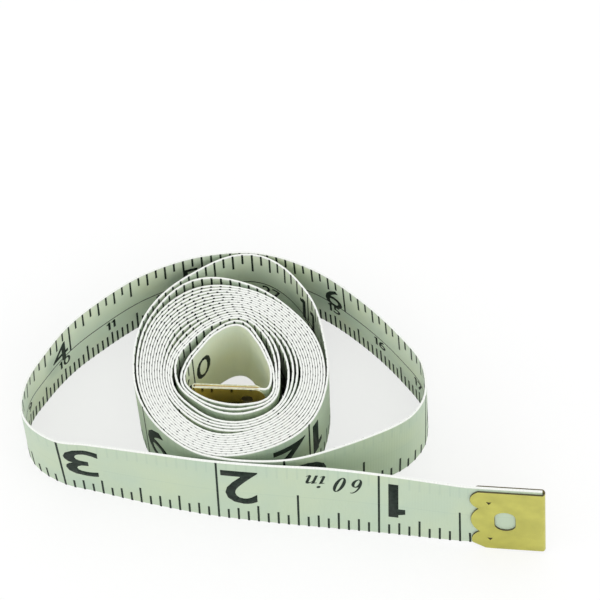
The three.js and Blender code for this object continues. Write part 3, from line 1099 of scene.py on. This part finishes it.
def tip_sheet(sizes, skew, corners, size):
    """A folded tip in flat tape places, fold first: one sheet bent round to two plates."""
    radius = (sizes.room + sizes.plate) / 2
    bend = math.pi / 2 * radius
    start = bend - radius - sizes.plate / 2
    bm = bmesh.new()
    edges = tip_outline(bm, sizes, start + sizes.length)
    for side in (-1, 1):
        middle = (side * (start + sizes.hole_place), sizes.height / 2)
        edges += slot_outline(bm, middle, sizes.hole_along, sizes.hole_across)
    marks = []
    for side in (-1, 1):
        for share in MARK_SHARES:
            middle = (side * (start + sizes.prong_place), share * sizes.height)
            marks.append(outline_edges(bm, oval(middle, (size / 2, size / 2), corners, -90)))
            edges += marks[-1]
    fill(bm, edges)
    for mark in marks:
        bmesh.ops.contextual_create(bm, geom=mark)
    for k in range(-FOLD_PARTS, FOLD_PARTS + 1):
        cut_across(bm, bend * k / FOLD_PARTS)
    bmesh.ops.recalc_face_normals(bm, faces=bm.faces)
    thicken(bm, -sizes.plate / 2, sizes.plate / 2)
    rim = [edge for edge in bm.edges if edge.is_manifold and edge.calc_face_angle(0) > SHARP_ANGLE]
    settings = {"profile": 0.5, "affect": "EDGES", "material": -1, "clamp_overlap": True}
    bmesh.ops.bevel(bm, geom=rim, offset=sizes.rounding, segments=2, **settings)
    # Edge faces take the second material: painted shade on the outer tip, pale cut brass on the inner one.
    for face in bm.faces:
        face.material_index = 1 if abs(face.normal.z) < 0.95 else 0
    press_marks(bm, sizes, start, corners)
    for vert in bm.verts:
        u, v, w = vert.co
        reach = radius + w
        v += skew * min(max(u / bend, -1), 1)
        if abs(u) <= bend:
            angle = u / radius
            vert.co = (radius + sizes.plate / 2 - reach * math.cos(angle), v, reach * math.sin(angle))
        else:
            vert.co = (abs(u) - start, v, math.copysign(reach, u))
    return bm


def press_marks(bm, sizes, start, corners):
    """Presses the marks into the outward face of both plates."""
    marks = []
    for face in bm.faces:
        centre = face.calc_center_median()
        along = abs(abs(centre.x) - start - sizes.prong_place)
        across = min(abs(centre.y - share * sizes.height) for share in MARK_SHARES)
        near = max(along, across) < MARK_NEAR * MM
        if near and face.normal.z > 0.9 and len(face.verts) == corners:
            marks.append(face)
    if len(marks) != 4:
        raise RuntimeError(f"{len(marks)} pressed marks were found, not four")
    walls = bmesh.ops.inset_individual(bm, faces=marks, thickness=sizes.plate / 5, depth=-sizes.plate / 2)
    # The pits get the dark metal, which is painted shade in the marks.
    for face in marks + walls["faces"]:
        face.material_index = 2


class TAPE_OT_tips(bpy.types.Operator):
    """Makes the two folded brass tips"""

    bl_idname = "tape_measure.tips"
    bl_label = "Tips"

    def execute(self, context):
        sizes = context.scene.tape_tips
        line = TapeLine(context.scene.tape_cloth.width)
        # The dark metal is painted shade, for the pressed marks and the outer tip's edges.
        tarnish = tarnish_material("painted_shade_brass", sizes.tarnish)
        outer = [brass_material("outer_brass", sizes.brass, 0.24, 0.4), tarnish, tarnish]
        bare = tarnish_material("cut_brass", sizes.cut_brass)
        inner = [brass_material("inner_brass", sizes.bright_brass, 0.08, 0.2), bare, tarnish]
        outer_place = Matrix.Translation((0, -sizes.drop, 0))
        inner_place = Matrix.Translation((line.length, 0, 0)) @ Matrix.Rotation(math.pi, 4, "Y")
        pronged = tip_sheet(sizes, sizes.skew, corners=3, size=sizes.prong)
        dimpled = tip_sheet(sizes, 0.0, corners=12, size=sizes.dimple)
        for name, bm, place, metals, body, node in (
            ("brass_outer_tip", pronged, outer_place, outer, "free_end", "outer_tip"),
            ("brass_inner_tip", dimpled, inner_place, inner, "coil", "inner_tip"),
        ):
            bmesh.ops.transform(bm, matrix=place, verts=bm.verts)
            piece = new_piece(name, bm, metals)
            line.lay_piece(piece)
            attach(piece, body)
            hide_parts(node)
        return {"FINISHED"}


class TAPE_PT_panel(bpy.types.Panel):
    """Lists the steps and the sizes"""

    bl_idname = "TAPE_PT_panel"
    bl_label = "Cloth tape measure"
    bl_space_type = "VIEW_3D"
    bl_region_type = "UI"
    bl_category = "Tape"

    def draw(self, context):
        for step in STEPS:
            self.layout.operator(step.bl_idname)
        for name in GROUPS:
            sizes = getattr(context.scene, name)
            box = self.layout.box()
            for key in sizes.bl_rna.properties.keys():
                if key not in ("rna_type", "name"):
                    box.prop(sizes, key)


STEPS = (TAPE_OT_stage, TAPE_OT_tape, TAPE_OT_print, TAPE_OT_tips)
GROUPS = {
    "tape_cloth": TapeSizes,
    "tape_print": PrintSizes,
    "tape_tips": TipSizes,
    "tape_stage": StageSizes,
}


def register():
    for group in GROUPS.values():
        bpy.utils.register_class(group)
    for name, group in GROUPS.items():
        setattr(bpy.types.Scene, name, PointerProperty(type=group))
    for step in (*STEPS, TAPE_PT_panel):
        bpy.utils.register_class(step)


def unregister():
    for step in (TAPE_PT_panel, *reversed(STEPS)):
        bpy.utils.unregister_class(step)
    for name, group in GROUPS.items():
        delattr(bpy.types.Scene, name)
        bpy.utils.unregister_class(group)


def main():
    register()
    bpy.context.scene.view_settings.view_transform = "Standard"
    bpy.ops.tape_measure.stage()
    bpy.ops.tape_measure.tape()
    bpy.ops.tape_measure.print()
    bpy.ops.tape_measure.tips()


if __name__ == "__main__":
    main()
